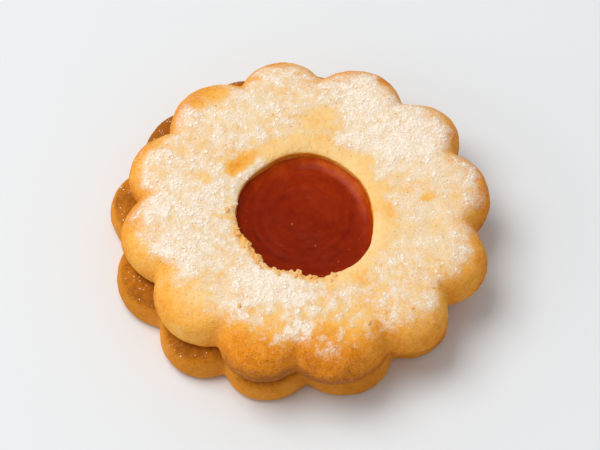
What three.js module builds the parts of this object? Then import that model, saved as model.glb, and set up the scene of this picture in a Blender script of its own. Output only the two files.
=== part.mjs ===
// A linzer cookie: two shortcrust biscuits cut with a twelve-lobed cutter, held together by jam.
// The lower biscuit is a whole disc. The upper one is a ring, and the jam fills its eye.
// Millimetres, +Z up. The underside lies on Z = 0, the Z axis runs through the middle of the
// cookie's box, and the front is towards -Y.

import * as THREE from "three";

// ---- Driving dimensions ----
const COOKIE_WIDTH = 60; // across the lobes of the ring, left to right
const COOKIE_DEPTH = 59; // across the lobes of the ring, front to back
const LOBE_COUNT = 12;
const LOBE_RADIUS = 7.4; // the cutter's lobes are rounds of this radius
const NOTCH_SHARPNESS = 16; // how sharply two lobes meet
const DISC_THICKNESS = 6.2;
const DISC_OVERSIZE = 1.008; // the disc spreads a little further in the oven than the ring
const RING_THICKNESS = 7;
const SEAM_HEIGHT = 0.8; // the jam between the two biscuits
const EYE_WIDTH = 21.7;
const EYE_DEPTH = 23.8;
const JAM_DROP = 2.9; // from the ring's highest level down to the jam in the eye
const JAM_RIM_RISE = 1.4; // the jam climbs the eye's wall by this much
const JAM_SPREAD = 47; // how wide the jam lies between the biscuits

// ---- How the two biscuits lie on each other ----
const RING_TURN = THREE.MathUtils.degToRad(12.5);
const DISC_TURN = THREE.MathUtils.degToRad(20);
const DISC_SHIFT = new THREE.Vector2(-2, 1.4);
const EYE_SHIFT = new THREE.Vector2(-0.4, -1.2); // the eye is cut a little off the middle

// ---- Unevenness from rolling, cutting and baking ----
const LOBE_DRIFT = THREE.MathUtils.degToRad(3.5); // the lobes aren't spaced evenly
const RING_PUSHES = [ // the ring's lobes were pushed round at the left and at the back
  { angle: THREE.MathUtils.degToRad(200), push: THREE.MathUtils.degToRad(5) },
  { angle: THREE.MathUtils.degToRad(78), push: THREE.MathUtils.degToRad(6.5) },
];
const RIM_UNEVENNESS = 0.5;
const EYE_UNEVENNESS = 0.4;
const SPREAD_UNEVENNESS = 1;
const WALL_UNEVENNESS = 0.2;
const CROWN_UNEVENNESS = 0.25;
const EYE_SLUMP = 1.2; // the eye's edge has slumped in at the front left
const EYE_CRUMBLE = 0.4; // and has small bites there
const CRUMBLE_PER_TURN = 8;
const CRUMBLE_ANGLE = THREE.MathUtils.degToRad(238);

// ---- Rounded edges ----
// Width is how far an edge reaches in from its wall, and height how far along the wall. The handles
// of its curve stand back from the corner by its slack, and below the level by its sag, so that a
// larger slack or sag rounds it more. Over the height called plumb it turns into the wall.
const DISC_FOOT = { width: 1.4, height: 1.7, slack: 0.2 };
const DISC_EDGE = { width: 3.6, height: 2, slack: 0.6, sag: 0 };
const RING_FOOT = { width: 1.2, height: 1.9, slack: 0.2 };
const RING_EDGE = { width: 5, height: 2.3, slack: 1.4, sag: 0.3 };
const EYE_FOOT = { width: 0.6, height: 0.6 };
const EYE_EDGE = { width: 2.4, height: 1, slack: 0.9, sag: 0.15, plumb: 0.6 };
const CROWN_WIDTH = 4; // the ring is at its highest this far in from its rounded edge
const CROWN_RISE = 0.1; // and this much above the edge
const EYE_DIP = 0.3; // it sinks by this much towards the eye
const MENISCUS = { width: 2.6, slack: 0.4 }; // where the jam climbs the eye's wall
const JAM_SWELL = 0.1; // its middle swells by this much
const SPREAD_LIP = 0.3; // the spread's edge is blunt

// ---- Levels and clearances ----
const RIM_RADIUS = COOKIE_WIDTH / 2;
const EYE_RADIUS = EYE_WIDTH / 2;
const SPREAD_RADIUS = JAM_SPREAD / 2;
const SEAM_LEVEL = DISC_THICKNESS + SEAM_HEIGHT;
const TOP_LEVEL = SEAM_LEVEL + RING_THICKNESS;
const JAM_LEVEL = TOP_LEVEL - JAM_DROP;
const EYE_CLEARANCE = 0.3; // between the jam's plug and the eye's wall
const PLUG_RADIUS = EYE_RADIUS - EYE_CLEARANCE;
const FLUTE_LENGTH = 7; // the creases between the lobes fade out this far in from the rim
const SHOULDER_RADIUS = RIM_RADIUS - FLUTE_LENGTH;
const SHOULDER_FLUTING = 0.35; // and this share of their depth is left there
const MEAN_REACH = 0.97; // the lobes' mean reach, as a share of the rim's radius

// ---- Phases of the slow waves, so that no two edges waver alike ----
const RIM_PHASE = 1;
const PHASE_PER_TURN = 5; // each biscuit's own turn gives its rim a wave of its own
const EYE_PHASE = 1;
const SPREAD_PHASE = 4.4;
const LOBE_PHASE = 22.7;
const WALL_PHASE = 0.6;
const WALL_TWIST = 3; // the bulge wanders round as it climbs the wall
const CROWN_PHASE = 2.3;

// ---- Fineness ----
const STEPS_PER_LOBE = 12;
const AROUND = LOBE_COUNT * STEPS_PER_LOBE;
const STEPS_PER_CURVE = 4;

// ---- Materials ----
const discCrust = new THREE.MeshStandardMaterial({ color: 0xd18c3c, roughness: 0.85, metalness: 0 });
const ringCrust = new THREE.MeshStandardMaterial({ color: 0xf8dcae, roughness: 0.9, metalness: 0 });
const redJam = new THREE.MeshStandardMaterial({ color: 0x962d05, roughness: 0.2, metalness: 0 });

// A slow wave round the cookie, between -1 and 1. Another phase gives another wave.
function wave(angle, phase) {
  const slow = Math.cos(2 * angle + phase);
  const middling = Math.cos(3 * angle + 2.3 * phase);
  const quick = Math.cos(5 * angle + 4.1 * phase);
  return 0.4 * slow + 0.35 * middling + 0.25 * quick;
}

// Radius of an ellipse with these half widths, at an angle.
function ellipseRadius(angle, halfWidth, halfDepth) {
  return 1 / Math.hypot(Math.cos(angle) / halfWidth, Math.sin(angle) / halfDepth);
}

// The cutter's reach at an angle, as a share of its radius: round lobes that meet in notches. The
// dough draws the bottom of each notch soft.
function cutterReach(angle) {
  const halfPitch = Math.PI / LOBE_COUNT;
  const lobeShare = Math.abs(angle / halfPitch - 2 * Math.round(angle / (2 * halfPitch)));
  const fromTip = halfPitch * (lobeShare - lobeShare ** NOTCH_SHARPNESS / NOTCH_SHARPNESS);
  const lobeCentre = RIM_RADIUS - LOBE_RADIUS;
  const sideways = lobeCentre * Math.sin(fromTip);
  return (lobeCentre * Math.cos(fromTip) + Math.sqrt(LOBE_RADIUS ** 2 - sideways ** 2)) / RIM_RADIUS;
}

// The outline of a baked biscuit: the cutter's lobes on a slightly uneven ellipse. The lobes show
// in full where fluting is 1.
function biscuitReach(angle, turn, fluting = 1) {
  const body = ellipseRadius(angle, COOKIE_WIDTH / 2, COOKIE_DEPTH / 2);
  const lobes = THREE.MathUtils.lerp(MEAN_REACH, cutterReach(angle - turn), fluting);
  return body * lobes + RIM_UNEVENNESS * wave(angle, RIM_PHASE + PHASE_PER_TURN * turn);
}

const discReach = (angle) => DISC_OVERSIZE * biscuitReach(angle, DISC_TURN);
const ringReach = (angle) => biscuitReach(angle, RING_TURN);

// The upper biscuit's crown inside the rim, where the lobes have faded out.
function shoulderReach(angle) {
  return (biscuitReach(angle, RING_TURN, SHOULDER_FLUTING) * SHOULDER_RADIUS) / RIM_RADIUS;
}

// The eye's wall. Its front left edge has slumped and crumbled.
function eyeReach(angle) {
  const round = ellipseRadius(angle, EYE_WIDTH / 2, EYE_DEPTH / 2);
  const shift = EYE_SHIFT.x * Math.cos(angle) + EYE_SHIFT.y * Math.sin(angle);
  const fromCrumble = angle - CRUMBLE_ANGLE;
  const crumbling = Math.max(0, Math.cos(fromCrumble)) ** 2;
  const bites = EYE_CRUMBLE * Math.cos(CRUMBLE_PER_TURN * fromCrumble) - EYE_SLUMP;
  return round + shift + EYE_UNEVENNESS * wave(angle, EYE_PHASE) + crumbling * bites;
}

const plugReach = (angle) => eyeReach(angle) - EYE_CLEARANCE;
const spreadReach = (angle) => SPREAD_RADIUS + SPREAD_UNEVENNESS * wave(angle, SPREAD_PHASE);

// How far round the lobes have drifted at an angle.
const drift = (angle) => LOBE_DRIFT * wave(angle, LOBE_PHASE);
function ringDrift(angle) {
  const pushes = RING_PUSHES.map((at) => at.push * Math.max(0, Math.cos(angle - at.angle)) ** 4);
  return pushes.reduce((drifted, push) => drifted - push, drift(angle));
}

// Turns a round lathe body with +Y up into its true outline with +Z up. Each stop holds a radius of
// the lathe profile and the reach that this radius takes at an angle, before that angle drifts.
function turnToOutline(profile, stops, driftAt) {
  const body = new THREE.LatheGeometry(profile, AROUND);
  body.rotateX(Math.PI / 2);
  body.rotateZ(Math.PI / 2);
  const points = body.getAttribute("position");
  for (let i = 0; i < points.count; i++) {
    const radius = Math.hypot(points.getX(i), points.getY(i));
    const angle = Math.atan2(points.getY(i), points.getX(i));
    const outer = Math.max(1, stops.findIndex((stop) => stop.radius >= radius - 1e-4));
    const [from, to] = [stops[outer - 1], stops[outer]];
    const share = (radius - from.radius) / (to.radius - from.radius);
    const reach = THREE.MathUtils.lerp(from.reach(angle), to.reach(angle), share);
    const drifted = angle + driftAt(angle);
    points.setXY(i, reach * Math.cos(drifted), reach * Math.sin(drifted));
  }
  return body;
}

// Bulges the ring's wall in and out, and lets its crown rise and fall.
function bakeUneven(body) {
  const points = body.getAttribute("position");
  for (let i = 0; i < points.count; i++) {
    const [x, y, z] = [points.getX(i), points.getY(i), points.getZ(i)];
    const angle = Math.atan2(y, x);
    const height = THREE.MathUtils.clamp((z - SEAM_LEVEL) / RING_THICKNESS, 0, 1);
    const outwards = THREE.MathUtils.smoothstep(Math.hypot(x, y), SPREAD_RADIUS, RIM_RADIUS);
    const waist = outwards * Math.sin(Math.PI * height);
    const bulge = WALL_UNEVENNESS * waist * wave(angle, WALL_PHASE + WALL_TWIST * height);
    const lift = CROWN_UNEVENNESS * height ** 2 * wave(angle, CROWN_PHASE);
    const grow = 1 + bulge / RIM_RADIUS;
    points.setXYZ(i, x * grow, y * grow, z + lift);
  }
  return body;
}

const axis = { radius: 0, reach: () => 0 };

// Runs along a level underside to its edge and rounds it up into the wall.
function roundFoot(profile, wall, level, foot) {
  profile.lineTo(wall - foot.width, level);
  profile.quadraticCurveTo(wall - foot.slack, level, wall, level + foot.height);
}

// Rounds the top of a wall over, inwards to a level.
function roundEdge(profile, wall, level, edge) {
  profile.bezierCurveTo(
    wall, level - edge.height,
    wall - edge.slack, level - edge.sag,
    wall - edge.width, level,
  );
}

// The whole lower biscuit: flat underside and flat top, with a rounded, bulging edge.
function makeDisc() {
  const profile = new THREE.Path();
  profile.moveTo(0, 0);
  roundFoot(profile, RIM_RADIUS, 0, DISC_FOOT);
  roundEdge(profile, RIM_RADIUS, DISC_THICKNESS, DISC_EDGE);
  profile.lineTo(0, DISC_THICKNESS);
  const stops = [axis, { radius: RIM_RADIUS, reach: discReach }];
  const body = turnToOutline(profile.getPoints(STEPS_PER_CURVE), stops, drift);
  return new THREE.Mesh(body, discCrust);
}

// The upper biscuit: rounded at the rim, a little crowned, and rolled over into the eye.
function makeRing() {
  const edgeLevel = TOP_LEVEL - CROWN_RISE;
  const eyeLevel = TOP_LEVEL - EYE_DIP;
  const profile = new THREE.Path();
  profile.moveTo(EYE_RADIUS, SEAM_LEVEL + EYE_FOOT.height);
  profile.lineTo(EYE_RADIUS + EYE_FOOT.width, SEAM_LEVEL);
  roundFoot(profile, RIM_RADIUS, SEAM_LEVEL, RING_FOOT);
  roundEdge(profile, RIM_RADIUS, edgeLevel, RING_EDGE);
  profile.quadraticCurveTo(
    RIM_RADIUS - RING_EDGE.width - CROWN_WIDTH, TOP_LEVEL + CROWN_RISE,
    EYE_RADIUS + EYE_EDGE.width, eyeLevel,
  );
  profile.bezierCurveTo(
    EYE_RADIUS + EYE_EDGE.slack, eyeLevel - EYE_EDGE.sag,
    EYE_RADIUS, eyeLevel - EYE_EDGE.height + EYE_EDGE.plumb,
    EYE_RADIUS, eyeLevel - EYE_EDGE.height,
  );
  profile.lineTo(EYE_RADIUS, SEAM_LEVEL + EYE_FOOT.height);
  const stops = [
    { radius: EYE_RADIUS, reach: eyeReach },
    { radius: SHOULDER_RADIUS, reach: shoulderReach },
    { radius: RIM_RADIUS, reach: ringReach },
  ];
  const body = turnToOutline(profile.getPoints(STEPS_PER_CURVE), stops, ringDrift);
  return new THREE.Mesh(bakeUneven(body), ringCrust);
}

// The jam: a thin spread between the biscuits and a plug that fills the eye from it.
function makeJam() {
  const profile = new THREE.Path();
  profile.moveTo(0, DISC_THICKNESS);
  profile.lineTo(SPREAD_RADIUS - SPREAD_LIP, DISC_THICKNESS);
  profile.lineTo(SPREAD_RADIUS, DISC_THICKNESS + SEAM_HEIGHT / 2);
  profile.lineTo(SPREAD_RADIUS - SPREAD_LIP, SEAM_LEVEL);
  profile.lineTo(PLUG_RADIUS, SEAM_LEVEL);
  profile.lineTo(PLUG_RADIUS, JAM_LEVEL + JAM_RIM_RISE);
  profile.quadraticCurveTo(
    PLUG_RADIUS - MENISCUS.slack, JAM_LEVEL,
    PLUG_RADIUS - MENISCUS.width, JAM_LEVEL,
  );
  profile.lineTo(0, JAM_LEVEL + JAM_SWELL);
  const stops = [
    axis,
    { radius: PLUG_RADIUS, reach: plugReach },
    { radius: SPREAD_RADIUS, reach: spreadReach },
  ];
  const body = turnToOutline(profile.getPoints(STEPS_PER_CURVE), stops, ringDrift);
  return new THREE.Mesh(body, redJam);
}

// Puts the pieces together and centres the cookie's box on the Z axis.
function makeCookie() {
  const disc = makeDisc();
  disc.name = "biscuit_disc";
  disc.position.set(DISC_SHIFT.x, DISC_SHIFT.y, 0);
  const ring = makeRing();
  ring.name = "biscuit_ring";
  const jam = makeJam();
  jam.name = "jam";

  const cookie = new THREE.Group();
  cookie.add(disc, jam, ring);
  const middle = new THREE.Box3().setFromObject(cookie).getCenter(new THREE.Vector3());
  cookie.position.set(-middle.x, -middle.y, 0);
  return cookie;
}

const cookie = makeCookie();
export default cookie;
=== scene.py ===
# %% [markdown]
# # A linzer cookie
#
# Two shortcrust biscuits are cut with the same lobed cutter and baked pale gold. The lower one is
# a whole disc. The upper one has a round eye. Red jam fills the eye and holds the two together,
# and powdered sugar is sifted over the top.
#
# The solids of the cookie already exist at their real size. This lesson loads them as a fixed
# frame and then dresses each one: a finer mesh of the same form, with the crumb, the browning,
# the sugar and the wet jam that the plain solids can't hold. Lengths are in millimetres until a
# mesh is made, because a cookie is easier to think about that way.

# %% Load the frame
import math
from collections import namedtuple

import bmesh
import bpy
import numpy as np
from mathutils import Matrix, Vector, noise


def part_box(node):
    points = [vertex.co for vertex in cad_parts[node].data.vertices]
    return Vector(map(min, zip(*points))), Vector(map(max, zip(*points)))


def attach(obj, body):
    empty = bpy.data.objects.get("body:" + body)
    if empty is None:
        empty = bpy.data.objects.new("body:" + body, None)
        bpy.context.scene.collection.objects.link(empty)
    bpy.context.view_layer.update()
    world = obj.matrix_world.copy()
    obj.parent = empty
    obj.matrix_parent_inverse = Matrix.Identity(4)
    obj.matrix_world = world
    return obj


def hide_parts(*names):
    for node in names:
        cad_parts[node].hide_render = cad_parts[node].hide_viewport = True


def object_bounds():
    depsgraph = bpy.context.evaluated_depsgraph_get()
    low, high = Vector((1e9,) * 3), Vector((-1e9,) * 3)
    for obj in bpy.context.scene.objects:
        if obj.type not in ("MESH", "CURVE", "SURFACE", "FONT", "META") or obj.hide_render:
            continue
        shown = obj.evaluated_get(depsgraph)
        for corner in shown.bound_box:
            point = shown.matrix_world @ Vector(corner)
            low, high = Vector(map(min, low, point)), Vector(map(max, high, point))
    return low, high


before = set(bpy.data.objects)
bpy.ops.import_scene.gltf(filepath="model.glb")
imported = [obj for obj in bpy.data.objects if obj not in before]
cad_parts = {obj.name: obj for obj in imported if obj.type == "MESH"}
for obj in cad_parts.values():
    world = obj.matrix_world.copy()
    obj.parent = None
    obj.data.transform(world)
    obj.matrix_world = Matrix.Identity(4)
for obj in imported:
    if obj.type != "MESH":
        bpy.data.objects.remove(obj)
cad_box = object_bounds()
MM = 0.001
cookie_size = (cad_box[1] - cad_box[0]) / MM
print("nodes:", sorted(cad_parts))
print("size in mm:", [round(side, 1) for side in cookie_size])

# %% [markdown]
# ## The camera
#
# A cookie on a table is looked down on. A camera held at about 60 degrees sees the whole top, the
# jam down in the eye and the front of the lobes. The lens is long and far away, because a close
# wide lens would make the near lobes bulge. Its focal length follows from how much width should
# fit in the picture.

# %% Camera
CAMERA_ELEVATION = math.radians(59)
CAMERA_DISTANCE = 1.1  # metres, as is the width
SEEN_WIDTH = 0.096
SENSOR_MM = 36

camera_data = bpy.data.cameras.new("camera")
camera_data.sensor_width = SENSOR_MM
camera_data.lens = SENSOR_MM * CAMERA_DISTANCE / SEEN_WIDTH
camera = bpy.data.objects.new("camera", camera_data)
bpy.context.scene.collection.objects.link(camera)
bpy.context.scene.camera = camera
aim = (cad_box[0] + cad_box[1]) / 2
back = Vector((0, -math.cos(CAMERA_ELEVATION), math.sin(CAMERA_ELEVATION)))
camera.location = aim + CAMERA_DISTANCE * back
camera.rotation_euler = (-back).to_track_quat("-Z", "Y").to_euler()
print("focal length:", round(camera_data.lens), "mm")

# %% [markdown]
# ## Light and floor
#
# Soft light flatters pastry: it shows the crumb without hard shadows. One large softbox hangs
# above, a little to the left. A weaker one stands low at the left and lifts the walls of the
# lobes out of the shade, and a dim white world fills in the rest. A softbox in Blender is an
# area light, and its size sets how soft the shadows are. The Standard view transform keeps pale
# colours as they are, where the filmic ones would grey the sugar.

# %% Light and floor
WINDOW_COLOUR = (1, 0.99, 0.97)
BOUNCE_COLOUR = (1, 0.98, 0.96)
WORLD_STRENGTH = 0.46
TABLE_COLOUR = (0.8, 0.83, 0.86, 1)
TABLE_ROUGHNESS = 0.6
TABLE_SIZE = 6  # metres
TABLE_GAP = 0.02  # millimetres, so that the table and the underside don't lie in one plane

bpy.context.scene.view_settings.view_transform = "Standard"


def add_softbox(name, direction, distance, size, watts, colour):
    """A square area light that looks at the cookie from a direction."""
    data = bpy.data.lights.new(name, "AREA")
    data.size = size
    data.energy = watts
    data.color = colour
    light = bpy.data.objects.new(name, data)
    bpy.context.scene.collection.objects.link(light)
    towards = Vector(direction).normalized()
    light.location = aim + distance * towards
    light.rotation_euler = towards.to_track_quat("Z", "Y").to_euler()


add_softbox("window", (-0.38, 0.12, 0.92), distance=0.9, size=0.6, watts=5.4, colour=WINDOW_COLOUR)
add_softbox("bounce", (-0.9, -0.35, 0.35), distance=1.0, size=0.7, watts=1.3, colour=BOUNCE_COLOUR)

world = bpy.data.worlds.new("studio")
world.use_nodes = True
sky = world.node_tree.nodes["Background"]
sky.inputs["Color"].default_value = (*WINDOW_COLOUR, 1)
sky.inputs["Strength"].default_value = WORLD_STRENGTH
bpy.context.scene.world = world

bpy.ops.mesh.primitive_plane_add(size=TABLE_SIZE, location=(0, 0, -TABLE_GAP * MM))
floor = bpy.context.object
floor.name = "floor"
floor_material = bpy.data.materials.new("pale_table")
floor_material.use_nodes = True
floor_shader = floor_material.node_tree.nodes["Principled BSDF"]
floor_shader.inputs["Base Color"].default_value = TABLE_COLOUR
floor_shader.inputs["Roughness"].default_value = TABLE_ROUGHNESS
floor.data.materials.append(floor_material)
print("lights:", len(bpy.data.lights))

# %% [markdown]
# ## The outline of a cut biscuit
#
# The cutter is a circle of twelve round lobes that meet in notches. An outline like that is best
# written as a reach: how far the edge is from the middle, at every angle. Baking makes it uneven,
# so slow waves are added, each with a phase of its own. The numbers are the solids' own, so the
# finer mesh lands on the frame.

# %% Outline of a cut biscuit
COOKIE_WIDTH = 60
COOKIE_DEPTH = 59
LOBE_COUNT = 12
LOBE_RADIUS = 7.4
NOTCH_SHARPNESS = 16
LOBE_DRIFT = math.radians(3.5)
LOBE_PHASE = 22.7
RING_PUSHES = [(math.radians(200), math.radians(5)), (math.radians(78), math.radians(6.5))]
RIM_UNEVENNESS = 0.5
RIM_PHASE = 1
PHASE_PER_TURN = 5
RIM_RADIUS = COOKIE_WIDTH / 2
MEAN_REACH = 0.97


def wave(angle, phase):
    """A slow wave round the cookie, between -1 and 1."""
    slow = np.cos(2 * angle + phase)
    middling = np.cos(3 * angle + 2.3 * phase)
    quick = np.cos(5 * angle + 4.1 * phase)
    return 0.4 * slow + 0.35 * middling + 0.25 * quick


def ellipse_reach(angle, half_width, half_depth):
    return 1 / np.hypot(np.cos(angle) / half_width, np.sin(angle) / half_depth)


def cutter_reach(angle):
    """The cutter's reach as a share of its radius: round lobes with soft notches between them."""
    half_pitch = math.pi / LOBE_COUNT
    lobe_share = np.abs(angle / half_pitch - 2 * np.round(angle / (2 * half_pitch)))
    from_tip = half_pitch * (lobe_share - lobe_share**NOTCH_SHARPNESS / NOTCH_SHARPNESS)
    lobe_centre = RIM_RADIUS - LOBE_RADIUS
    sideways = lobe_centre * np.sin(from_tip)
    return (lobe_centre * np.cos(from_tip) + np.sqrt(LOBE_RADIUS**2 - sideways**2)) / RIM_RADIUS


def drift(angle):
    """How far round the lobes have drifted, because dough is soft."""
    return LOBE_DRIFT * wave(angle, LOBE_PHASE)


def ring_drift(angle):
    """The upper biscuit's lobes were also pushed round, at the left and at the back."""
    pushes = [push * np.maximum(0, np.cos(angle - at)) ** 4 for at, push in RING_PUSHES]
    return drift(angle) - sum(pushes)


def biscuit_reach(angle, turn, fluting=1.0):
    """The edge of a baked biscuit. The lobes show in full where fluting is 1."""
    body = ellipse_reach(angle, RIM_RADIUS, COOKIE_DEPTH / 2)
    lobes = MEAN_REACH + fluting * (cutter_reach(angle - turn) - MEAN_REACH)
    return body * lobes + RIM_UNEVENNESS * wave(angle, RIM_PHASE + turn * PHASE_PER_TURN)


cut_reach = cutter_reach(np.linspace(0, 2 * math.pi / LOBE_COUNT, 99)) * RIM_RADIUS
print("lobes are", round(float(np.ptp(cut_reach)), 1), "mm deep as cut")


# %% [markdown]
# ## From a profile to a skin
#
# Each piece is a profile turned round the middle, like clay on a wheel, except that every radius
# is then pulled out to the biscuit's own outline. The profile is drawn with Bezier curves, and
# the turned points stay in a grid of rows and columns, so that neighbours are easy to find. A
# Screw modifier could turn a profile too, but it can't give each angle a reach of its own.

# %% Profiles
AROUND = 672  # points in a row, 56 to each lobe
ANGLES = np.linspace(-math.pi, math.pi, AROUND, endpoint=False)


def curve(points, steps):
    """Points along a Bezier curve with these control points, without its first point."""
    share = np.linspace(0, 1, steps + 1)[1:, None]
    order = len(points) - 1
    weights = [math.comb(order, i) * (1 - share) ** (order - i) * share**i for i in range(order + 1)]
    return sum(weight * np.array(point, float) for weight, point in zip(weights, points))


def draw_profile(start, *strokes):
    """A profile of (radius, height) points. Each stroke is (control points after the last, steps)."""
    drawn = [np.array([start], float)]
    for points, steps in strokes:
        drawn.append(curve([drawn[-1][-1], *points], steps))
    return np.concatenate(drawn)


# A rounded edge: how far in and how far up it reaches, and how far its curve's handles stand back.
Edge = namedtuple("Edge", "width height slack sag", defaults=(0, 0))


def foot(wall, level, edge, flat_steps, steps):
    """Along a level underside to its edge, and round up into the wall."""
    return (
        ([(wall - edge.width, level)], flat_steps),
        ([(wall - edge.slack, level), (wall, level + edge.height)], steps),
    )


def shoulder(wall, level, edge, steps):
    """Up a wall and over its rounded top, inwards to a level."""
    bend = (wall - edge.slack, level - edge.sag)
    return ([(wall, level - edge.height), bend, (wall - edge.width, level)], steps)


def turn_profile(profile, stops, drift_at):
    """A grid of points. Each stop is (a radius of the profile, the reach it takes at an angle)."""
    radii = [radius for radius, _ in stops]
    reaches = [np.broadcast_to(reach(ANGLES), ANGLES.shape) for _, reach in stops]
    rows = []
    for radius in profile[:, 0]:
        after = min(max(np.searchsorted(radii, radius), 1), len(radii) - 1)
        share = (radius - radii[after - 1]) / (radii[after] - radii[after - 1])
        rows.append(reaches[after - 1] + share * (reaches[after] - reaches[after - 1]))
    reach = np.array(rows)
    drifted = ANGLES + drift_at(ANGLES)
    height = np.broadcast_to(profile[:, 1, None], reach.shape)
    return np.stack([reach * np.cos(drifted), reach * np.sin(drifted), height], axis=-1)


# %% Skins
def keep_numbers(piece, **numbers):
    """Keeps a number for each vertex, or the same one for all of them, for a material to read."""
    for number, values in numbers.items():
        attribute = piece.data.attributes.new(number, "FLOAT", "POINT")
        spread_out = np.broadcast_to(values, len(piece.data.vertices))
        attribute.data.foreach_set("value", spread_out.astype(np.float32))


def grid_quads(rows, around, closed):
    """The four corners of each face of a grid. At a pole a whole row is one corner."""
    index = np.arange(rows * around).reshape(rows, around)
    if not closed:
        index[0], index[-1] = index[0, 0], index[-1, 0]
    beside = np.roll(index, -1, axis=1)
    below, below_beside = np.roll(index, -1, axis=0), np.roll(beside, -1, axis=0)
    quads = np.stack([index, beside, below_beside, below], axis=-1)
    return quads[: rows if closed else rows - 1].reshape(-1, 4)


def skin(name, grid, closed, **numbers):
    """A mesh over a grid that closes on itself, or whose first and last rows are single points.

    The numbers are kept on its vertices by their names, for its material to read."""
    quads = grid_quads(*grid.shape[:2], closed)
    kept = np.unique(quads)
    corners = grid.reshape(-1, 3)[kept] * MM
    # A face at a pole has the same corner twice, so it becomes a triangle.
    faces = [list(dict.fromkeys(quad)) for quad in np.searchsorted(kept, quads).tolist()]
    mesh = bpy.data.meshes.new(name)
    mesh.from_pydata(corners, [], faces)
    mesh.shade_smooth()
    piece = bpy.data.objects.new(name, mesh)
    bpy.context.scene.collection.objects.link(piece)
    keep_numbers(piece, **{number: values.ravel()[kept] for number, values in numbers.items()})
    return piece


# %% [markdown]
# ## Relief
#
# Dough isn't smooth. Noise gives it lumps and crumb: a point's place goes in, a number between
# about -1 and 1 comes out, and points near each other get like numbers. The number moves the
# point along its normal. This is real geometry, which a bump map only pretends to be. A relief is
# built from layers, broad lumps first and crumb last.

# %% Relief
SEED_STEP = (7.3, -3.1, 5.7)  # each seed reads the noise from a place this much further on
OCTAVE_FADE = 1.0
OCTAVE_SCALE = 2.0
Layer = namedtuple("Layer", "height size octaves seed")


def lumps(points, size, octaves=3, seed=0):
    """Noise whose broadest lumps are about this many millimetres across."""
    shift = Vector([seed * step for step in SEED_STEP])
    flat = points.reshape(-1, 3) / size
    values = [noise.fractal(Vector(point) + shift, OCTAVE_FADE, OCTAVE_SCALE, octaves) for point in flat]
    return np.array(values).reshape(points.shape[:-1])


def layered(points, layers):
    """The height of several layers of lumps together."""
    return sum(layer.height * lumps(points, layer.size, layer.octaves, layer.seed) for layer in layers)


def smooth_step(value, low, high):
    """0 up to low, 1 from high on, and smooth in between. High may be the smaller one."""
    share = np.clip((value - low) / (high - low), 0, 1)
    return share * share * (3 - 2 * share)


def grid_normals(grid, closed):
    """Unit normals of a grid, from the neighbours on each side of a point."""
    around = np.roll(grid, -1, axis=1) - np.roll(grid, 1, axis=1)
    along = np.roll(grid, -1, axis=0) - np.roll(grid, 1, axis=0)
    if not closed:
        along[0], along[-1] = grid[1] - grid[0], grid[-1] - grid[-2]
        around[0], around[-1] = around[1], around[-2]
    normals = np.cross(around, along)
    return normals / np.maximum(np.linalg.norm(normals, axis=-1, keepdims=True), 1e-9)


def place_on_node(grid, node):
    """Slides a grid sideways onto its node's box. Gives where the middle it was turned round is."""
    low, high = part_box(node)
    flat = grid.reshape(-1, 3)
    middle = np.array((low + high) / 2 / MM)[:2] - (flat.min(0) + flat.max(0))[:2] / 2
    grid[..., :2] += middle
    spare = np.array(high - low) / MM - (flat.max(0) - flat.min(0))
    print(node, "has its solid's size to within", np.round(np.abs(spare).max(), 2), "mm")
    return middle


def round_middle(grid, middle):
    """The x and y of a grid from a middle, and its angles round it."""
    x, y = grid[..., 0] - middle[0], grid[..., 1] - middle[1]
    return x, y, np.arctan2(y, x)


# %% [markdown]
# ## Building materials in steps
#
# A material is a graph of nodes. Written node by node it is long and hard to follow, so a small
# class holds the few moves that pastry needs: noise of a given size, pits, sums, colour ramps and
# bump. Every size in it is in millimetres, taken from the object's own coordinates.

# %% Material helpers
def colour(red, green, blue):
    """A colour given as on a screen, 0 to 255, in the linear numbers that shaders use."""
    share = np.array([red, green, blue]) / 255
    linear = np.where(share <= 0.04045, share / 12.92, ((share + 0.055) / 1.055) ** 2.4)
    return (*map(float, linear), 1.0)


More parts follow.
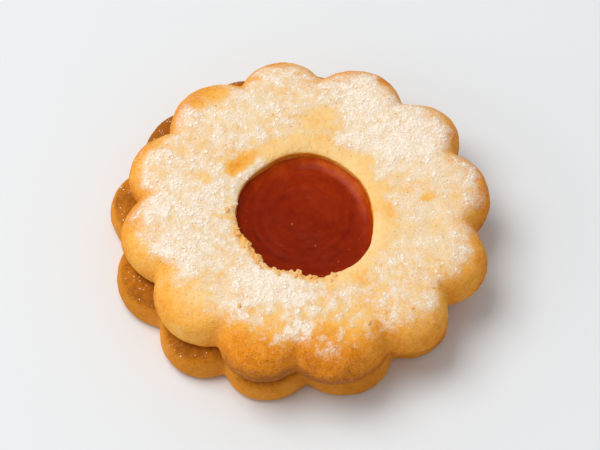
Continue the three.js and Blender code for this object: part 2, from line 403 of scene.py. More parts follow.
class Finish:
    """A node material that is built up step by step. Its coordinates are in millimetres."""

    def __init__(self, name):
        self.material = bpy.data.materials.new(name)
        self.material.use_nodes = True
        self.tree = self.material.node_tree
        self.shader = self.tree.nodes["Principled BSDF"]
        coordinates = self.tree.nodes.new("ShaderNodeTexCoord").outputs["Object"]
        scale = self.node("ShaderNodeVectorMath", operation="SCALE")
        self.link(coordinates, scale.inputs[0])
        scale.inputs["Scale"].default_value = 1 / MM
        self.place = scale.outputs[0]

    def node(self, kind, **settings):
        made = self.tree.nodes.new(kind)
        for name, value in settings.items():
            setattr(made, name, value)
        return made

    def link(self, output, socket):
        self.tree.links.new(output, socket)

    def feed(self, value, socket):
        """Gives a socket a link or a plain number, whichever the value is."""
        if isinstance(value, bpy.types.NodeSocket):
            self.link(value, socket)
        else:
            socket.default_value = value

    def number(self, name):
        """A number that was kept on each vertex."""
        return self.node("ShaderNodeAttribute", attribute_name=name).outputs["Fac"]

    def noise(self, size, detail=3.0, roughness=0.55):
        """Noise of 0 to 1 whose lumps are about this many millimetres across."""
        made = self.node("ShaderNodeTexNoise")
        self.link(self.place, made.inputs["Vector"])
        made.inputs["Scale"].default_value = 1 / size
        made.inputs["Detail"].default_value = detail
        made.inputs["Roughness"].default_value = roughness
        return made.outputs["Fac"]

    def pits(self, apart, width):
        """1 in small round pits of this half width, scattered about this far apart, and 0 outside."""
        made = self.node("ShaderNodeTexVoronoi")
        self.link(self.place, made.inputs["Vector"])
        made.inputs["Scale"].default_value = 1 / apart
        rim = width / apart
        floor_share = 0.3
        return self.spread(made.outputs["Distance"], floor_share * rim, rim, 1.0, 0.0)

    def math(self, operation, first, second=0.0, third=0.0):
        made = self.node("ShaderNodeMath", operation=operation)
        for value, socket in zip((first, second, third), made.inputs):
            self.feed(value, socket)
        return made.outputs[0]

    def spread(self, value, low, high, to_low=0.0, to_high=1.0):
        """Maps low..high to to_low..to_high smoothly, and holds it there outside."""
        made = self.node("ShaderNodeMapRange", interpolation_type="SMOOTHSTEP")
        for number, socket in zip((value, low, high, to_low, to_high), made.inputs):
            self.feed(number, socket)
        return made.outputs[0]

    def ramp(self, value, tones):
        """A colour for each value between 0 and 1. Tones are (position, colour) pairs."""
        made = self.node("ShaderNodeValToRGB")
        stops = made.color_ramp.elements
        for _ in tones[2:]:
            stops.new(1)
        for stop, (position, tone) in zip(stops, tones):
            stop.position, stop.color = position, tone
        self.link(value, made.inputs["Fac"])
        return made.outputs["Color"]

    def mix(self, share, first, second):
        made = self.node("ShaderNodeMix", data_type="RGBA")
        self.feed(share, made.inputs["Factor"])
        self.feed(first, made.inputs["A"])
        self.feed(second, made.inputs["B"])
        return made.outputs["Result"]

    def bump(self, height, depth, under=None):
        """Roughens the light by a height. Depth is in millimetres."""
        made = self.node("ShaderNodeBump")
        made.inputs["Distance"].default_value = depth * MM
        self.link(height, made.inputs["Height"])
        if under:
            self.link(under, made.inputs["Normal"])
        return made.outputs["Normal"]

    def set(self, **sockets):
        """Sets the shader's own sockets. An underscore in a name stands for a space."""
        for name, value in sockets.items():
            self.feed(value, self.shader.inputs[name.replace("_", " ")])
        return self.material


# %% [markdown]
# ## Baked crust
#
# Shortcrust bakes unevenly: pale gold on the flat, orange gold where a lobe stands out, and brown
# in a thin line along an edge. A colour ramp holds those tones from pale to brown, and a number
# kept on each vertex says how far that spot has baked. The same number also holds painted shade,
# where a spot is browned to look shaded, and painted light, where it is paled to look lit. Noise of
# three sizes and small pores break it up into crumb. The lower biscuit has browner tones: partly
# its own bake and partly painted shade, as it lies under the upper one. A little light goes into
# pastry and comes out again, so subsurface is on, apart from the crumbs, which are too small to
# need it. Sugar is a second colour over the first.

# %% Crust and sugar
CRUST_TONES = [
    (0.0, colour(252, 221, 162)),
    (0.3, colour(250, 204, 132)),
    (0.55, colour(247, 177, 70)),
    (0.8, colour(228, 136, 6)),
    (1.0, colour(168, 94, 20)),
]
# Browner tones for the lower biscuit: its own bake and painted shade together.
BROWNER_SHADED_TONES = [
    (0.0, colour(246, 198, 122)),
    (0.5, colour(231, 152, 54)),
    (0.8, colour(204, 124, 26)),
    (1.0, colour(160, 92, 20)),
]
SUGAR_WHITE = colour(252, 240, 224)
SUGAR_COVER = 0.85  # even thick sugar lets a little crust show through
PATTERN_MEAN = 0.55  # what the noises add to the browning on average


def make_crust(name, tones, sugared, softness=0.2):
    """Baked shortcrust, under powdered sugar where the vertices say so."""
    finish = Finish(name)
    broad = finish.noise(size=5)
    crumb = finish.noise(size=0.8, detail=4)
    grain = finish.noise(size=0.25, detail=2)
    pores = finish.pits(apart=0.9, width=0.16)
    # This number holds browning together with painted shade and painted light.
    baked = finish.number("baked")
    for pattern, strength in ((broad, 0.5), (crumb, 0.3), (grain, 0.3), (pores, 0.12)):
        baked = finish.math("MULTIPLY_ADD", pattern, strength, baked)
    tone = finish.ramp(finish.math("SUBTRACT", baked, PATTERN_MEAN), tones)
    relief = finish.bump(crumb, depth=0.2)
    relief = finish.bump(grain, depth=0.06, under=relief)
    relief = finish.bump(finish.math("SUBTRACT", 1.0, pores), depth=0.08, under=relief)
    if sugared:
        powdery = finish.spread(finish.noise(size=0.3, roughness=0.6), 0.3, 0.7)
        dense = finish.math("MULTIPLY_ADD", powdery, 0.45, finish.number("sugar"))
        powder = finish.spread(dense, 0.2, 1.25)
        tone = finish.mix(finish.math("MULTIPLY", powder, SUGAR_COVER), tone, SUGAR_WHITE)
        relief = finish.bump(powder, depth=0.1, under=relief)
    return finish.set(
        Base_Color=tone,
        Roughness=0.82,
        Specular_IOR_Level=0.12,
        Subsurface_Weight=softness,
        Subsurface_Radius=(1.0, 0.6, 0.3),
        Subsurface_Scale=0.8 * MM,
        Normal=relief,
    )


sugared_crust = make_crust("sugared_crust", CRUST_TONES, sugared=True)
golden_crust = make_crust("golden_crust", BROWNER_SHADED_TONES, sugared=False)
crumb_crust = make_crust("crumb_crust", CRUST_TONES, sugared=True, softness=0)
print("materials:", [material.name for material in bpy.data.materials])

# %% [markdown]
# ## The lower biscuit
#
# Only its edge shows: round lobes that bulge below the upper biscuit, and a ledge where the upper
# one doesn't cover it. So the rows stand close at its edge and far apart on its flat faces. The
# ledge is painted browner than the wall, as painted shade under the overhanging upper biscuit.
# The underside stays flat, as it was baked on a tray.

# %% Lower biscuit: form
DISC_THICKNESS = 6.2
DISC_OVERSIZE = 1.008
DISC_TURN = math.radians(20)
DISC_FOOT = Edge(1.4, 1.7, slack=0.2)
DISC_EDGE = Edge(3.6, 2, slack=0.6)


def disc_reach(angle):
    return DISC_OVERSIZE * biscuit_reach(angle, DISC_TURN)


disc_profile = draw_profile(
    (0, 0),
    *foot(RIM_RADIUS, 0, DISC_FOOT, flat_steps=30, steps=12),
    shoulder(RIM_RADIUS, DISC_THICKNESS, DISC_EDGE, steps=26),
    ([(0, DISC_THICKNESS)], 26),
)
disc = turn_profile(disc_profile, [(0, lambda angle: 0), (RIM_RADIUS, disc_reach)], drift)
disc_middle = place_on_node(disc, "biscuit_disc")
disc_normals = grid_normals(disc, closed=False)

# %% Lower biscuit: relief and browning
DISC_LAYERS = [Layer(0.22, size=6, octaves=3, seed=1), Layer(0.07, size=1.4, octaves=4, seed=2)]
# Painted shade: the whole lower biscuit sits browner than the upper one, and its ledge, which faces up,
# is browner still, as the shade under the upper biscuit.
WALL_BROWNING_AND_SHADE = 0.66
LEDGE_PAINTED_SHADE = 0.27  # how much browner than the wall
PATCHY_BROWNING = 0.14

disc_x, disc_y, _ = round_middle(disc, disc_middle)
disc_share = np.hypot(disc_x, disc_y) / disc_reach(ANGLES)
near_edge = smooth_step(disc_share, 0.6, 0.95)
off_tray = smooth_step(disc[..., 2], 0.1, 1.2)
facing_up = smooth_step(disc_normals[..., 2], 0.2, 0.8)
patches = lumps(disc, 9, seed=3)
disc_browned_and_shaded = WALL_BROWNING_AND_SHADE + LEDGE_PAINTED_SHADE * facing_up + PATCHY_BROWNING * patches
disc += (near_edge * off_tray * layered(disc, DISC_LAYERS))[..., None] * disc_normals

lower_biscuit = skin("lower_biscuit", disc, closed=False, baked=disc_browned_and_shaded)
lower_biscuit.data.materials.append(golden_crust)
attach(lower_biscuit, "root")
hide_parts("biscuit_disc")
print("lower biscuit:", len(lower_biscuit.data.polygons), "faces")

# %% [markdown]
# ## The upper biscuit
#
# The same cutter, then a round hole cut through. Its lobes are plump, with creases between them
# that fade out towards the middle. The edge of the eye is smooth where the cutter slid through
# and crumbly where it tore. The profile is a closed loop here: under the biscuit, up its wall,
# over the top, and down into the eye.

# %% Upper biscuit: sizes
SEAM_HEIGHT = 0.8
RING_THICKNESS = 7
RING_TURN = math.radians(12.5)
RING_FOOT = Edge(1.2, 1.9, slack=0.2)
RING_EDGE = Edge(5, 2.3, slack=1.4, sag=0.3)
EYE_WIDTH = 21.7
EYE_DEPTH = 23.8
EYE_SHIFT = (-0.4, -1.2)
EYE_UNEVENNESS = 0.4
EYE_PHASE = 1
EYE_SLUMP = 1.2
EYE_CRUMBLE = 0.4
CRUMBLE_PER_TURN = 8
CRUMBLE_ANGLE = math.radians(238)
EYE_FOOT = Edge(0.6, 0.6)
EYE_EDGE = Edge(2.4, 1, slack=0.9, sag=0.15)
EYE_PLUMB = 0.6
EYE_DIP = 0.3
CROWN_WIDTH = 4
CROWN_RISE = 0.1
CROWN_UNEVENNESS = 0.25
CROWN_PHASE = 2.3
FLUTE_LENGTH = 7
SHOULDER_FLUTING = 0.35
SPREAD_RADIUS = 23.5
WALL_UNEVENNESS = 0.2
WALL_PHASE = 0.6
WALL_TWIST = 3
EYE_RADIUS = EYE_WIDTH / 2
SHOULDER_RADIUS = RIM_RADIUS - FLUTE_LENGTH
RING_BOTTOM = DISC_THICKNESS + SEAM_HEIGHT
RING_TOP = RING_BOTTOM + RING_THICKNESS
EYE_LEVEL = RING_TOP - EYE_DIP


def ring_reach(angle):
    return biscuit_reach(angle, RING_TURN)


def shoulder_reach(angle):
    return biscuit_reach(angle, RING_TURN, SHOULDER_FLUTING) * SHOULDER_RADIUS / RIM_RADIUS


def eye_reach(angle):
    """The eye's edge. It is cut clean, except where it slumped and crumbled on the near left."""
    round_eye = ellipse_reach(angle, EYE_RADIUS, EYE_DEPTH / 2)
    shift = EYE_SHIFT[0] * np.cos(angle) + EYE_SHIFT[1] * np.sin(angle)
    from_crumble = angle - CRUMBLE_ANGLE
    crumbled = np.maximum(0, np.cos(from_crumble)) ** 2
    bites = EYE_CRUMBLE * np.cos(CRUMBLE_PER_TURN * from_crumble) - EYE_SLUMP
    return round_eye + shift + EYE_UNEVENNESS * wave(angle, EYE_PHASE) + crumbled * bites


print("the eye reaches", np.round([eye_reach(ANGLES).min(), eye_reach(ANGLES).max()], 1), "mm out")

# %% Upper biscuit: form
def bake_uneven(grid):
    """Lets the wall bulge and the crown lift a little, more on one side than on another."""
    x, y, z = np.moveaxis(grid, -1, 0)
    angle = np.arctan2(y, x)
    height = np.clip((z - RING_BOTTOM) / (RING_TOP - RING_BOTTOM), 0, 1)
    waist = smooth_step(np.hypot(x, y), SPREAD_RADIUS, RIM_RADIUS) * np.sin(math.pi * height)
    bulge = WALL_UNEVENNESS * waist * wave(angle, WALL_PHASE + WALL_TWIST * height)
    grid[..., :2] *= (1 + bulge / RIM_RADIUS)[..., None]
    grid[..., 2] += CROWN_UNEVENNESS * height**2 * wave(angle, CROWN_PHASE)


eye_start = (EYE_RADIUS, RING_BOTTOM + EYE_FOOT.height)
crown_top = (RIM_RADIUS - RING_EDGE.width - CROWN_WIDTH, RING_TOP + CROWN_RISE)
eye_bend = (EYE_RADIUS + EYE_EDGE.slack, EYE_LEVEL - EYE_EDGE.sag)
eye_wall_top = EYE_LEVEL - EYE_EDGE.height
ring_profile = draw_profile(
    eye_start,
    ([(EYE_RADIUS + EYE_FOOT.width, RING_BOTTOM)], 2),
    *foot(RIM_RADIUS, RING_BOTTOM, RING_FOOT, flat_steps=16, steps=10),
    shoulder(RIM_RADIUS, RING_TOP - CROWN_RISE, RING_EDGE, steps=34),
    ([crown_top, (EYE_RADIUS + EYE_EDGE.width, EYE_LEVEL)], 46),
    ([eye_bend, (EYE_RADIUS, eye_wall_top + EYE_PLUMB), (EYE_RADIUS, eye_wall_top)], 20),
    ([eye_start], 14),
)[:-1]
ring_stops = [(EYE_RADIUS, eye_reach), (SHOULDER_RADIUS, shoulder_reach), (RIM_RADIUS, ring_reach)]
ring = turn_profile(ring_profile, ring_stops, ring_drift)
bake_uneven(ring)
ring_middle = place_on_node(ring, "biscuit_ring")
ring_normals = grid_normals(ring, closed=True)
ring_x, ring_y, ring_angle = round_middle(ring, ring_middle)
ring_height = ring[..., 2]
from_eye = np.hypot(ring_x, ring_y) - eye_reach(ANGLES)
from_rim = ring_reach(ANGLES) - np.hypot(ring_x, ring_y)
print("upper biscuit turned round", np.round(ring_middle, 2))

# %% [markdown]
# ## Dabs
#
# Some places have more sugar or have browned more than any rule would say: a finger wiped the
# sugar off, the sieve dropped a heap, a bubble in the dough scorched. Other dabs are painted shade,
# which browns a spot, and painted light, which pales one. Weight painting would do it by hand. In a
# script the same thing is a dab, a soft ellipse that adds a little or takes it away. A slow noise
# bends the ellipses, so that none of them looks drawn.

# %% Dabs
DAB_WAVER = 1.2
DAB_CORE = 0.3  # a dab is whole up to this share of its half size,
DAB_END = 1.3  # and gone at this one

wavering = lumps(ring, 3.5, seed=4)


def dab(x, y, place, half_size):
    """1 in the middle of a soft ellipse, and 0 outside it."""
    away = np.hypot((x - place[0]) / half_size[0], (y - place[1]) / half_size[1])
    return 1 - smooth_step(away, DAB_CORE, DAB_END)


def add_dabs(amount, dabs):
    """Adds to an amount, for each dab of (x, y, half width, half depth, change)."""
    x, y = ring_x + DAB_WAVER * wavering, ring_y + DAB_WAVER * wavering
    for *place, half_width, half_depth, change in dabs:
        amount += change * dab(x, y, place, (half_width, half_depth))


print("a dab wavers by up to", np.round(DAB_WAVER * np.abs(wavering).max(), 1), "mm")


# %% [markdown]
# ## Where the sugar lies
#
# Powdered sugar falls from above. It stays where the biscuit is level and slides off where it
# slopes, so the walls, the creases and the outer part of the lobes stay bare. Handling rubs more
# of it off: along the far and right side of the eye, and where the eye's edge crumbled away.

# %% Upper biscuit: sugar
SUGAR_LIGHT_AND_SHADE_DABS = [
    (14.6, 13.5, 9, 7, 0.25),  # thick at the far right
    (8.6, 21.5, 6, 5, 0.25),
    (-17.4, -1.5, 8, 10, 0.14),  # and at the left
    (-6.4, -13, 6, 4.5, 0.35),  # and in front of the eye
    (-1.4, -20.5, 3.5, 7, 0.35),
    # Less sugar here: the sugar is streaky, and the lower amount is also painted shade on the near
    # slope.
    (3.6, -22.5, 11, 7, -0.4),  # streaky on the near lobes
    (-11.6, 7.7, 1.7, 1.2, -1.2),  # a bare scorched spot beside the eye
    (-9.9, 8.9, 1.5, 1.3, -1.2),
    (-16.5, 5.5, 1.8, 1.0, -0.5),  # rubbed off at the left of it
    (-13.2, -1.5, 2.5, 0.5, -0.5),
    (2.4, 15.9, 4.6, 2.2, -0.55),  # a gold band behind the eye
    (19.3, 2.1, 1.2, 0.8, -0.8),  # a brown bubble at the right
    (19.6, -1.5, 8, 14, -0.06),  # thin at the right
    (15.6, -12.5, 8, 4, -0.1),
    (-26.4, -19.5, 12, 9, -0.8),  # bare lobes at the near left
    (-10.4, -27.5, 7, 6, -0.8),
    (9.6, -28.5, 6, 5, -0.3),  # and at the near right
    (-16.5, 21.5, 4.5, 2.6, -0.6),  # bare tips of the far lobes
    (-9, 25.5, 2.5, 1.5, -0.5),
    (12.5, 24.5, 1.3, 2, -0.4),
    # Partly painted light: a heap of sugar that also pales the shaded crease at the left.
    (-23.5, -8.5, 3, 3, 0.3),  # a last heap at the left
]
SUGAR_MEAN = 0.56
SUGAR_PATCHES = 0.22
SUGAR_MOTTLE = 0.35  # its streaks and specks, stronger on the near lobes and weaker at the right
SUGAR_MOST = 1.1
WIPED_LIP = 0.6  # how much was rubbed off beside the eye
LIP_ANGLE = math.radians(25)  # the middle of that side
TORN_BARE = 0.6

mottled = lumps(ring, 1.4, octaves=4, seed=13)
upward = ring_normals[..., 2]
sugar = np.full(ring_x.shape, SUGAR_MEAN)
add_dabs(sugar, SUGAR_LIGHT_AND_SHADE_DABS)
far_or_right = smooth_step(np.cos(ring_angle - LIP_ANGLE), -0.35, 0.1)
sugar -= WIPED_LIP * far_or_right * (1 - smooth_step(from_eye + 1.5 * wavering, 1.2, 4.6))

streaked = dab(ring_x, ring_y, (1.6, -22.5), (11, 9))
even = dab(ring_x, ring_y, (19.6, -0.5), (10, 16))
sugar += SUGAR_PATCHES * wavering + SUGAR_MOTTLE * mottled * (1 + streaked - 0.5 * even)

# The bare rim is widest at the near left.
bare_rim = 1.3 - 0.25 * np.cos(ring_angle) - 0.5 * np.sin(ring_angle)
sugar *= smooth_step(from_rim + DAB_WAVER * wavering, bare_rim - 1, bare_rim + 2.2)
sugar *= smooth_step(upward, 0.1, 0.8)

beside_crumble = smooth_step(np.cos(ring_angle - CRUMBLE_ANGLE), 0.35, 0.9)
torn = beside_crumble * (1 - smooth_step(np.abs(from_eye), 0.4, 2.2))
torn *= smooth_step(ring_height, RING_BOTTOM + 2, RING_TOP - 2)
sugar = np.clip(sugar - TORN_BARE * torn, 0, SUGAR_MOST)
print("share of the biscuit under sugar:", round(float((sugar > 0.4).mean()), 2))

# %% [markdown]
# ## How far it has baked
#
# Heat comes from the outside, so the browning rises towards the rim and towards the tray. Inside,
# the wall of the eye is painted darker and warmer, as painted shade in the eye, while the lip
# around it is painted a little paler than the rest of the top, as painted light. What no rule gives
# is dabbed on, as the sugar was, and some of those dabs are painted shade and painted light.

# %% Upper biscuit: browning
BROWNING_LIGHT_AND_SHADE_DABS = [
    (-11.6, 7.7, 1.7, 1.2, 0.26),  # the scorched spot beside the eye
    (-9.9, 8.9, 1.5, 1.3, 0.24),
    (2.4, 15.9, 4.6, 2.2, 0.05),
    (19.3, 2.1, 1.2, 0.8, 0.2),  # and the brown bubble
    # Painted shade: the right rim is browned to look shaded.
    (29.6, -1.5, 4, 16, 0.12),  # the right rim
    # Painted shade: the near lobes are browned to look shaded on their slopes towards the front.
    (-3.4, -26.5, 13, 9, 0.17),  # the two near lobes
    (7.6, -27.5, 9, 7, 0.07),
    (5.6, -21.5, 7, 5, 0.08),
    # Painted light: the lobes at the left are paled to look lit.
    (-19.5, -21, 8.5, 6.5, -0.1),  # the pale lobes at the left
    (-24, -23.5, 5, 5, -0.2),
    # Painted shade: the near rim is browned to look shaded.
    (-8, -30, 8, 4, 0.08),  # the near rim
    # Painted light: the lobe beside the crease at the left is paled to look lit.
    (-25.5, -9.5, 4.5, 5, -0.18),  # another pale lobe at the left
    (-16.5, 21.5, 4.5, 2.6, 0.1),  # the tips of the far lobes
    (-9, 25.5, 2.5, 1.5, 0.08),
    (12.5, 24.5, 1.3, 2, 0.15),
]
TOP_BROWNING = 0.32
RIM_BROWNING = 0.34
RIM_BAND = 7
PATCHES_BROWNING = 0.08
FOOT_BROWNING = 0.2
TORN_BROWNING = 0.12
EYE_WALL_PAINTED_SHADE = 0.42
LIP_PAINTED_LIGHT = 0.08

towards_rim = 1 - smooth_step(from_rim, 0.5, RIM_BAND)
towards_tray = (1 - smooth_step(ring_height, RING_BOTTOM, RING_TOP - 2)) * (from_rim < 3)
upright = 1 - smooth_step(upward, 0.2, 0.75)
# Painted shade: the steep wall of the eye is browned darker and warmer.
painted_shade_eye_wall = upright * (1 - smooth_step(from_eye, 0.3, 1.2))
# Painted light: the gentle slope round the eye is made a little paler.
painted_light_lip = (1 - upright) * (1 - smooth_step(from_eye, 1.2, 3.2))
ring_browned_lit_and_shaded = TOP_BROWNING + RIM_BROWNING * towards_rim + PATCHES_BROWNING * lumps(ring, 9, seed=5)
ring_browned_lit_and_shaded += FOOT_BROWNING * towards_tray + TORN_BROWNING * torn
ring_browned_lit_and_shaded += EYE_WALL_PAINTED_SHADE * painted_shade_eye_wall - LIP_PAINTED_LIGHT * painted_light_lip
add_dabs(ring_browned_lit_and_shaded, BROWNING_LIGHT_AND_SHADE_DABS)
print("browning from", np.round(ring_browned_lit_and_shaded.min(), 2), "to", np.round(ring_browned_lit_and_shaded.max(), 2))

# %% [markdown]
# ## Relief under the sugar
#
# The upper biscuit has broad lumps and fine crumb, as the lower one has, and two layers more.
# Sugar lies in low heaps, so one layer is higher where there is more sugar. The torn edge of the
# eye is ragged, so another is there alone. The face in the seam stays flat.

# %% Upper biscuit: relief
RING_LAYERS = [
    Layer(0.2, size=6, octaves=3, seed=6),
    Layer(0.05, size=1.3, octaves=4, seed=7),
    Layer(0.06 * sugar, size=1.1, octaves=4, seed=8),
    Layer(0.5 * torn, size=1.5, octaves=3, seed=9),
]

off_seam = smooth_step(ring_height, RING_BOTTOM, RING_BOTTOM + 0.5)
ring_relief = off_seam * layered(ring, RING_LAYERS)
ring += ring_relief[..., None] * ring_normals

upper_biscuit = skin("upper_biscuit", ring, closed=True, baked=ring_browned_lit_and_shaded, sugar=sugar)
upper_biscuit.data.materials.append(sugared_crust)
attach(upper_biscuit, "root")
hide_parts("biscuit_ring")
print("upper biscuit:", len(upper_biscuit.data.polygons), "faces")

# %% [markdown]
# ## The jam
#
# Jam is boiled until it sets, then spooned in warm. It climbs the wall of the eye a little, its
# middle swells by a hair, and under the upper biscuit it is a thin spread. The spoon leaves faint
# rings in it. They come from noise that is read by the distance from the middle, so that it is
# drawn out into arcs.

# %% Jam: form
EYE_OVERLAP = 0.25  # the jam reaches just into the wall, so that no gap shows
EYE_CLEARANCE = 0.3  # the jam is drawn this much inside the eye, and then pulled out to its wall
JAM_DROP = 2.9
JAM_RIM_RISE = 1.4
JAM_SWELL = 0.1
MENISCUS = Edge(2.6, JAM_RIM_RISE, slack=0.4)
SPREAD_LIP = 0.3
SPREAD_UNEVENNESS = 1
SPREAD_PHASE = 4.4
JAM_LEVEL = RING_TOP - JAM_DROP
PLUG_RADIUS = EYE_RADIUS - EYE_CLEARANCE


def plug_reach(angle):
    return eye_reach(angle) + EYE_OVERLAP


def spread_reach(angle):
    return SPREAD_RADIUS + SPREAD_UNEVENNESS * wave(angle, SPREAD_PHASE)


jam_profile = draw_profile(
    (0, DISC_THICKNESS),
    ([(SPREAD_RADIUS - SPREAD_LIP, DISC_THICKNESS)], 12),
    ([(SPREAD_RADIUS, DISC_THICKNESS + SEAM_HEIGHT / 2)], 2),
    ([(SPREAD_RADIUS - SPREAD_LIP, RING_BOTTOM)], 2),
    ([(PLUG_RADIUS, RING_BOTTOM)], 6),
    ([(PLUG_RADIUS, JAM_LEVEL + JAM_RIM_RISE)], 8),
    ([(PLUG_RADIUS - MENISCUS.slack, JAM_LEVEL), (PLUG_RADIUS - MENISCUS.width, JAM_LEVEL)], 24),
    ([(0, JAM_LEVEL + JAM_SWELL)], 56),
)
jam_stops = [(0, lambda angle: 0), (PLUG_RADIUS, plug_reach), (SPREAD_RADIUS, spread_reach)]
jam = turn_profile(jam_profile, jam_stops, ring_drift)
jam_middle = place_on_node(jam, "jam")

# %% Jam: surface
STREAK_WIDTH = 1.1
STREAK_CHANGE = 1.5  # little change on the way round makes a streak long
STREAK_HEIGHT = 0.03
SAG_HEIGHT = 0.12
LEVEL_SLACK = 0.01  # so that a point right on the jam's level counts as its surface

jam_x, jam_y, jam_angle = round_middle(jam, jam_middle)
out_from_middle = np.hypot(jam_x, jam_y)
to_wall = eye_reach(ANGLES) - out_from_middle
jam_top = (jam[..., 2] > JAM_LEVEL - LEVEL_SLACK) * smooth_step(to_wall, 0, 1.2)
way_round = [STREAK_CHANGE * np.cos(jam_angle), STREAK_CHANGE * np.sin(jam_angle)]
streak_places = np.stack([out_from_middle, *way_round], axis=-1)
streaks = lumps(streak_places, STREAK_WIDTH, seed=16) * smooth_step(out_from_middle, 0.5, 4)
sagging = lumps(jam, 5, octaves=2, seed=10)
jam[..., 2] += jam_top * (SAG_HEIGHT * sagging + STREAK_HEIGHT * streaks)
print("the jam's middle is", round(float(RING_TOP - jam[-1, 0, 2]), 1), "mm below the crown")

# %% [markdown]
# ## Where the jam glows
#
# Light goes into jam, so it is deep red where it is thick and orange where it thins out against
# the wall. More orange is painted in on the far side, and across the jam towards it, as a painted
# glow of light coming through. Thinness and painted glow are kept on the vertices as one number,
# and the material turns it into colour. The surface is wet, so it is smooth and has a soft shine.

# %% Jam: thinness
GLOW_ANGLE = math.radians(65)
LEAST_GLOW = 0.35
WALL_GLOW = 0.4
SIDE_GLOW = 0.3
STREAK_GLOW = 0.12

# Painted light: the side towards GLOW_ANGLE is painted a lighter orange, and so is the thin jam against
# the wall, most of all on that side.
painted_glow_facing = smooth_step(np.cos(jam_angle - GLOW_ANGLE), -0.2, 0.7)
painted_glow_share = LEAST_GLOW + (1 - LEAST_GLOW) * painted_glow_facing
across = jam_x * math.cos(GLOW_ANGLE) + jam_y * math.sin(GLOW_ANGLE)
thin = WALL_GLOW * painted_glow_share * (1 - smooth_step(to_wall + 0.5 * lumps(jam, 3, seed=12), 0.0, 2.4))
thin += SIDE_GLOW * smooth_step(across + lumps(jam, 4, seed=15), -9, 13) * painted_glow_share
thin += STREAK_GLOW * streaks

jam_filling = skin("jam_filling", jam, closed=False, thin=thin)
print("jam:", len(jam_filling.data.polygons), "faces")

# %% Jam: finish
JAM_TONES = [
    (0.0, colour(118, 22, 0)),
    (0.4, colour(148, 38, 0)),
    (0.7, colour(176, 60, 2)),
    (1.0, colour(212, 108, 30)),
]


def make_jam():
    """Set red jam: clear, deep and wet."""
    finish = Finish("red_jam")
    pulp = finish.noise(size=1.6, detail=4)
    cloudy = finish.math("MULTIPLY_ADD", pulp, 0.5, -0.1)
    tone = finish.ramp(finish.math("ADD", cloudy, finish.number("thin")), JAM_TONES)
    return finish.set(
        Base_Color=tone,
        Roughness=0.24,
        IOR=1.4,
        Specular_IOR_Level=0.12,
        Subsurface_Weight=0.25,
        Subsurface_Radius=(1.0, 0.25, 0.05),
        Subsurface_Scale=1.5 * MM,
        Normal=finish.bump(pulp, depth=0.05),
    )


red_jam = make_jam()
jam_filling.data.materials.append(red_jam)
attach(jam_filling, "root")
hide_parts("jam")
print("jam finish:", len(red_jam.node_tree.nodes), "nodes")

# %% [markdown]
# ## Sugar grains
#
# Powdered sugar is fine, but it clumps as it falls. The clumps are what the eye reads as sugar,
# so they are real: thousands of small lumps, each a rough ball turned and squashed its own way
# and partly sunk in the biscuit. They are joined in one mesh, made from arrays in one go. A
# particle system would scatter them too, but its copies aren't part of any mesh. Between the
# clumps lie far more specks, so small that an octahedron is round enough for them.

# %% Shapes of grains
OCTAHEDRON = (
    np.concatenate([np.eye(3), -np.eye(3)]),
    np.array([(0, 1, 2), (1, 3, 2), (3, 4, 2), (4, 0, 2), (1, 0, 5), (3, 1, 5), (4, 3, 5), (0, 4, 5)]),
)


def rough_ball(subdivisions):
    """The corners and triangles of a ball. One subdivision gives an icosahedron."""
    work = bmesh.new()
    bmesh.ops.create_icosphere(work, subdivisions=subdivisions, radius=1)
    corners = np.array([corner.co for corner in work.verts])
    triangles = np.array([[corner.index for corner in face.verts] for face in work.faces])
    work.free()
    return corners, triangles


print("corners of balls:", [len(rough_ball(subdivisions)[0]) for subdivisions in (1, 2, 3)])


# %% Scattering
FLATTEST = 0.6  # a grain may be squashed to this share of its width

draw = np.random.default_rng(12)


def pick_places(grid, normals, weight, count):
    """Random places on a grid, more of them where the weight is larger, and their normals."""
    to_side, to_below = np.roll(grid, -1, axis=1) - grid, np.roll(grid, -1, axis=0) - grid
    area = np.linalg.norm(np.cross(to_side, to_below), axis=-1)
    chance = (area * weight).ravel()
    cells = draw.choice(chance.size, count, p=chance / chance.sum())
    across, down = draw.random((2, count, 1))
    corner, to_side, to_below = (points.reshape(-1, 3)[cells] for points in (grid, to_side, to_below))
    return corner + across * to_side + down * to_below, normals.reshape(-1, 3)[cells]


def uneven_sizes(middle, spread, smallest, largest, count):
    """Random sizes, most of them near the middle one, with a few much larger."""
    return np.clip(draw.lognormal(math.log(middle), spread, count), smallest, largest)


def scatter(name, shape, places, normals, sizes, sunk, roughness, flatness=1.0):
    """One mesh of many small copies of a shape, turned, dented, flattened and sunk in by a share."""
    corners, triangles = shape
    count = len(places)
    turns = np.linalg.qr(draw.normal(size=(count, 3, 3)))[0]
    turns *= np.linalg.det(turns)[:, None, None]
    dents = draw.uniform(1 - roughness, 1 + roughness, (count, len(corners), 1))
    squash = draw.uniform(FLATTEST, 1.0, (count, 1, 3))
    made = (corners * squash * dents) @ turns * sizes[:, None, None]
    made -= (1 - flatness) * (made @ normals[..., None]) * normals[:, None]
    made += (places + normals * (flatness * sizes * (1 - 2 * sunk))[:, None])[:, None]
    faces = triangles + len(corners) * np.arange(count)[:, None, None]
    mesh = bpy.data.meshes.new(name)
    mesh.from_pydata(made.reshape(-1, 3) * MM, [], faces.reshape(-1, 3).tolist())
    piece = bpy.data.objects.new(name, mesh)
    bpy.context.scene.collection.objects.link(piece)
    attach(piece, "root")
    print(name, count, "bits,", len(mesh.polygons), "faces")
    return piece


# %% [markdown]
# ## How powdered sugar looks
#
# Powdered sugar scatters light so well that it doesn't shine at all. It is white and rough, and a
# little warm where it lies thin over the crust. A fine bump keeps the clumps from looking like
# plastic beads.

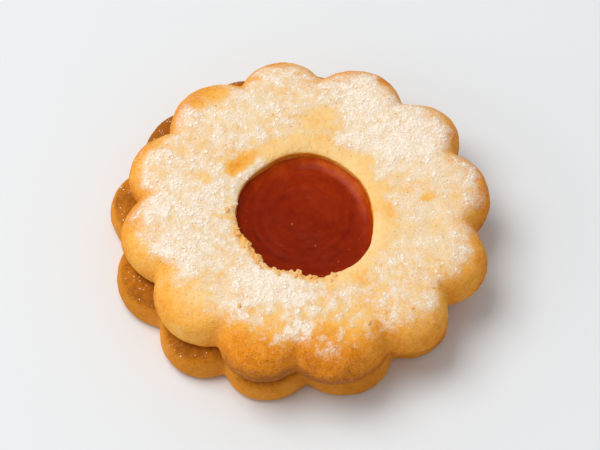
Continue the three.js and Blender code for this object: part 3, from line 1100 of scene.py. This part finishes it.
# %% Sugar finish
def make_sugar():
    """Dry powdered sugar: white, matt, a little warm where it lies thin."""
    finish = Finish("powdered_sugar")
    tone = finish.mix(finish.noise(size=0.6), colour(252, 232, 208), colour(255, 247, 236))
    return finish.set(
        Base_Color=tone,
        Roughness=0.9,
        Specular_IOR_Level=0.2,
        Normal=finish.bump(finish.noise(size=0.12), depth=0.04),
    )


powdered_sugar = make_sugar()
print("sugar finish:", len(powdered_sugar.node_tree.nodes), "nodes")

# %% Sugar clumps and specks
CLUMP_COUNT = 8500
SPECK_COUNT = 22000
STRAY_DUST = 0.015  # a few specks lie on any place that isn't too steep

clumped = smooth_step(sugar, 0.3, 1.1) ** 2
clump_places, clump_normals = pick_places(ring, ring_normals, clumped, CLUMP_COUNT)
clump_sizes = uneven_sizes(0.14, 0.45, 0.06, 0.42, CLUMP_COUNT)
clumps = scatter(
    "sugar_clumps", rough_ball(1), clump_places, clump_normals, clump_sizes,
    sunk=0.3, roughness=0.25, flatness=0.4,
)

dusted = smooth_step(sugar + 0.3 * lumps(ring, 2.5, seed=14), 0.12, 0.8)
dusted += STRAY_DUST * (upward > 0.2)
speck_places, speck_normals = pick_places(ring, ring_normals, dusted, SPECK_COUNT)
speck_sizes = uneven_sizes(0.05, 0.3, 0.03, 0.1, SPECK_COUNT)
specks = scatter(
    "sugar_specks", OCTAHEDRON, speck_places, speck_normals, speck_sizes,
    sunk=0.3, roughness=0.2, flatness=0.6,
)

for piece in (clumps, specks):
    piece.data.materials.append(powdered_sugar)

# %% [markdown]
# ## What fell on the ledge
#
# Where the lower biscuit sticks out from under the upper one, its ledge catches a few fine grains.
# They could be placed by hand, but a weight places them by rule: it is 1 outside the upper
# biscuit's outline, as long as the surface faces up.

# %% Ledge sugar
LEDGE_GRAIN_COUNT = 150

ledge_x, ledge_y, ledge_angle = round_middle(disc, ring_middle)
roof_reach = ring_reach(ledge_angle - ring_drift(ledge_angle))
uncovered = smooth_step(np.hypot(ledge_x, ledge_y) - roof_reach, -0.6, 0.4)
ledge = uncovered * smooth_step(disc_normals[..., 2], 0.3, 0.8)
ledge_places, ledge_normals = pick_places(disc, disc_normals, ledge, LEDGE_GRAIN_COUNT)
ledge_sizes = uneven_sizes(0.09, 0.4, 0.04, 0.2, LEDGE_GRAIN_COUNT)
ledge_sugar = scatter(
    "ledge_sugar", rough_ball(1), ledge_places, ledge_normals, ledge_sizes, sunk=0.3, roughness=0.2
)
ledge_sugar.data.materials.append(powdered_sugar)

# %% [markdown]
# ## Crumbs
#
# Crumbs come off the torn edge of the eye and stay there, dusted like the rest, and a few lie
# about in the sugar. They are rougher than the sugar, so they are made from finer balls with
# deeper dents, and sunk further in.

# %% Crumbs
CRUMB_COUNT = 70
STRAY_CRUMBS = 0.003  # the weight of the few that lie in the sugar
CRUMB_BROWNING = 0.42
CRUMB_SUGAR = 0.2

on_torn_edge = torn * (ring[..., 2] > RING_TOP - 1) * (upward > 0.3)
crumby = on_torn_edge + STRAY_CRUMBS * (sugar > 0.3)
crumb_places, crumb_normals = pick_places(ring, ring_normals, crumby, CRUMB_COUNT)
crumb_sizes = uneven_sizes(0.32, 0.4, 0.15, 0.55, CRUMB_COUNT)
crumbs = scatter(
    "crumbs", rough_ball(2), crumb_places, crumb_normals, crumb_sizes, sunk=0.6, roughness=0.42
)
keep_numbers(crumbs, baked=CRUMB_BROWNING, sugar=CRUMB_SUGAR)
crumbs.data.materials.append(crumb_crust)

# %% [markdown]
# ## Bubbles in the jam
#
# Jam is stirred as it boils, so some air stays in it and gathers near the wall of the eye. A
# bubble just under the surface lifts it into a little dome that catches the light. The domes are
# round balls sunk more than half into the jam, scattered like the grains.

# %% Jam bubbles
BUBBLE_COUNT = 26
BUBBLE_THINNESS = 0.6  # light comes through a bubble's skin
DEEPEST_SAG = 0.2
STRAY_BUBBLES = 0.15  # the weight of those that lie far from the wall

on_surface = jam[..., 2] > JAM_LEVEL - DEEPEST_SAG
near_wall = STRAY_BUBBLES + smooth_step(to_wall, 4.5, 1.5)
bubbly = on_surface * near_wall * smooth_step(to_wall, 0.4, 0.9)
jam_normals = grid_normals(jam, closed=False)
bubble_places, bubble_normals = pick_places(jam, jam_normals, bubbly, BUBBLE_COUNT)
bubble_sizes = uneven_sizes(0.16, 0.35, 0.09, 0.34, BUBBLE_COUNT)
bubbles = scatter(
    "jam_bubbles", rough_ball(3), bubble_places, bubble_normals, bubble_sizes, sunk=0.62, roughness=0.0
)
bubbles.data.shade_smooth()
keep_numbers(bubbles, thin=BUBBLE_THINNESS)
bubbles.data.materials.append(red_jam)
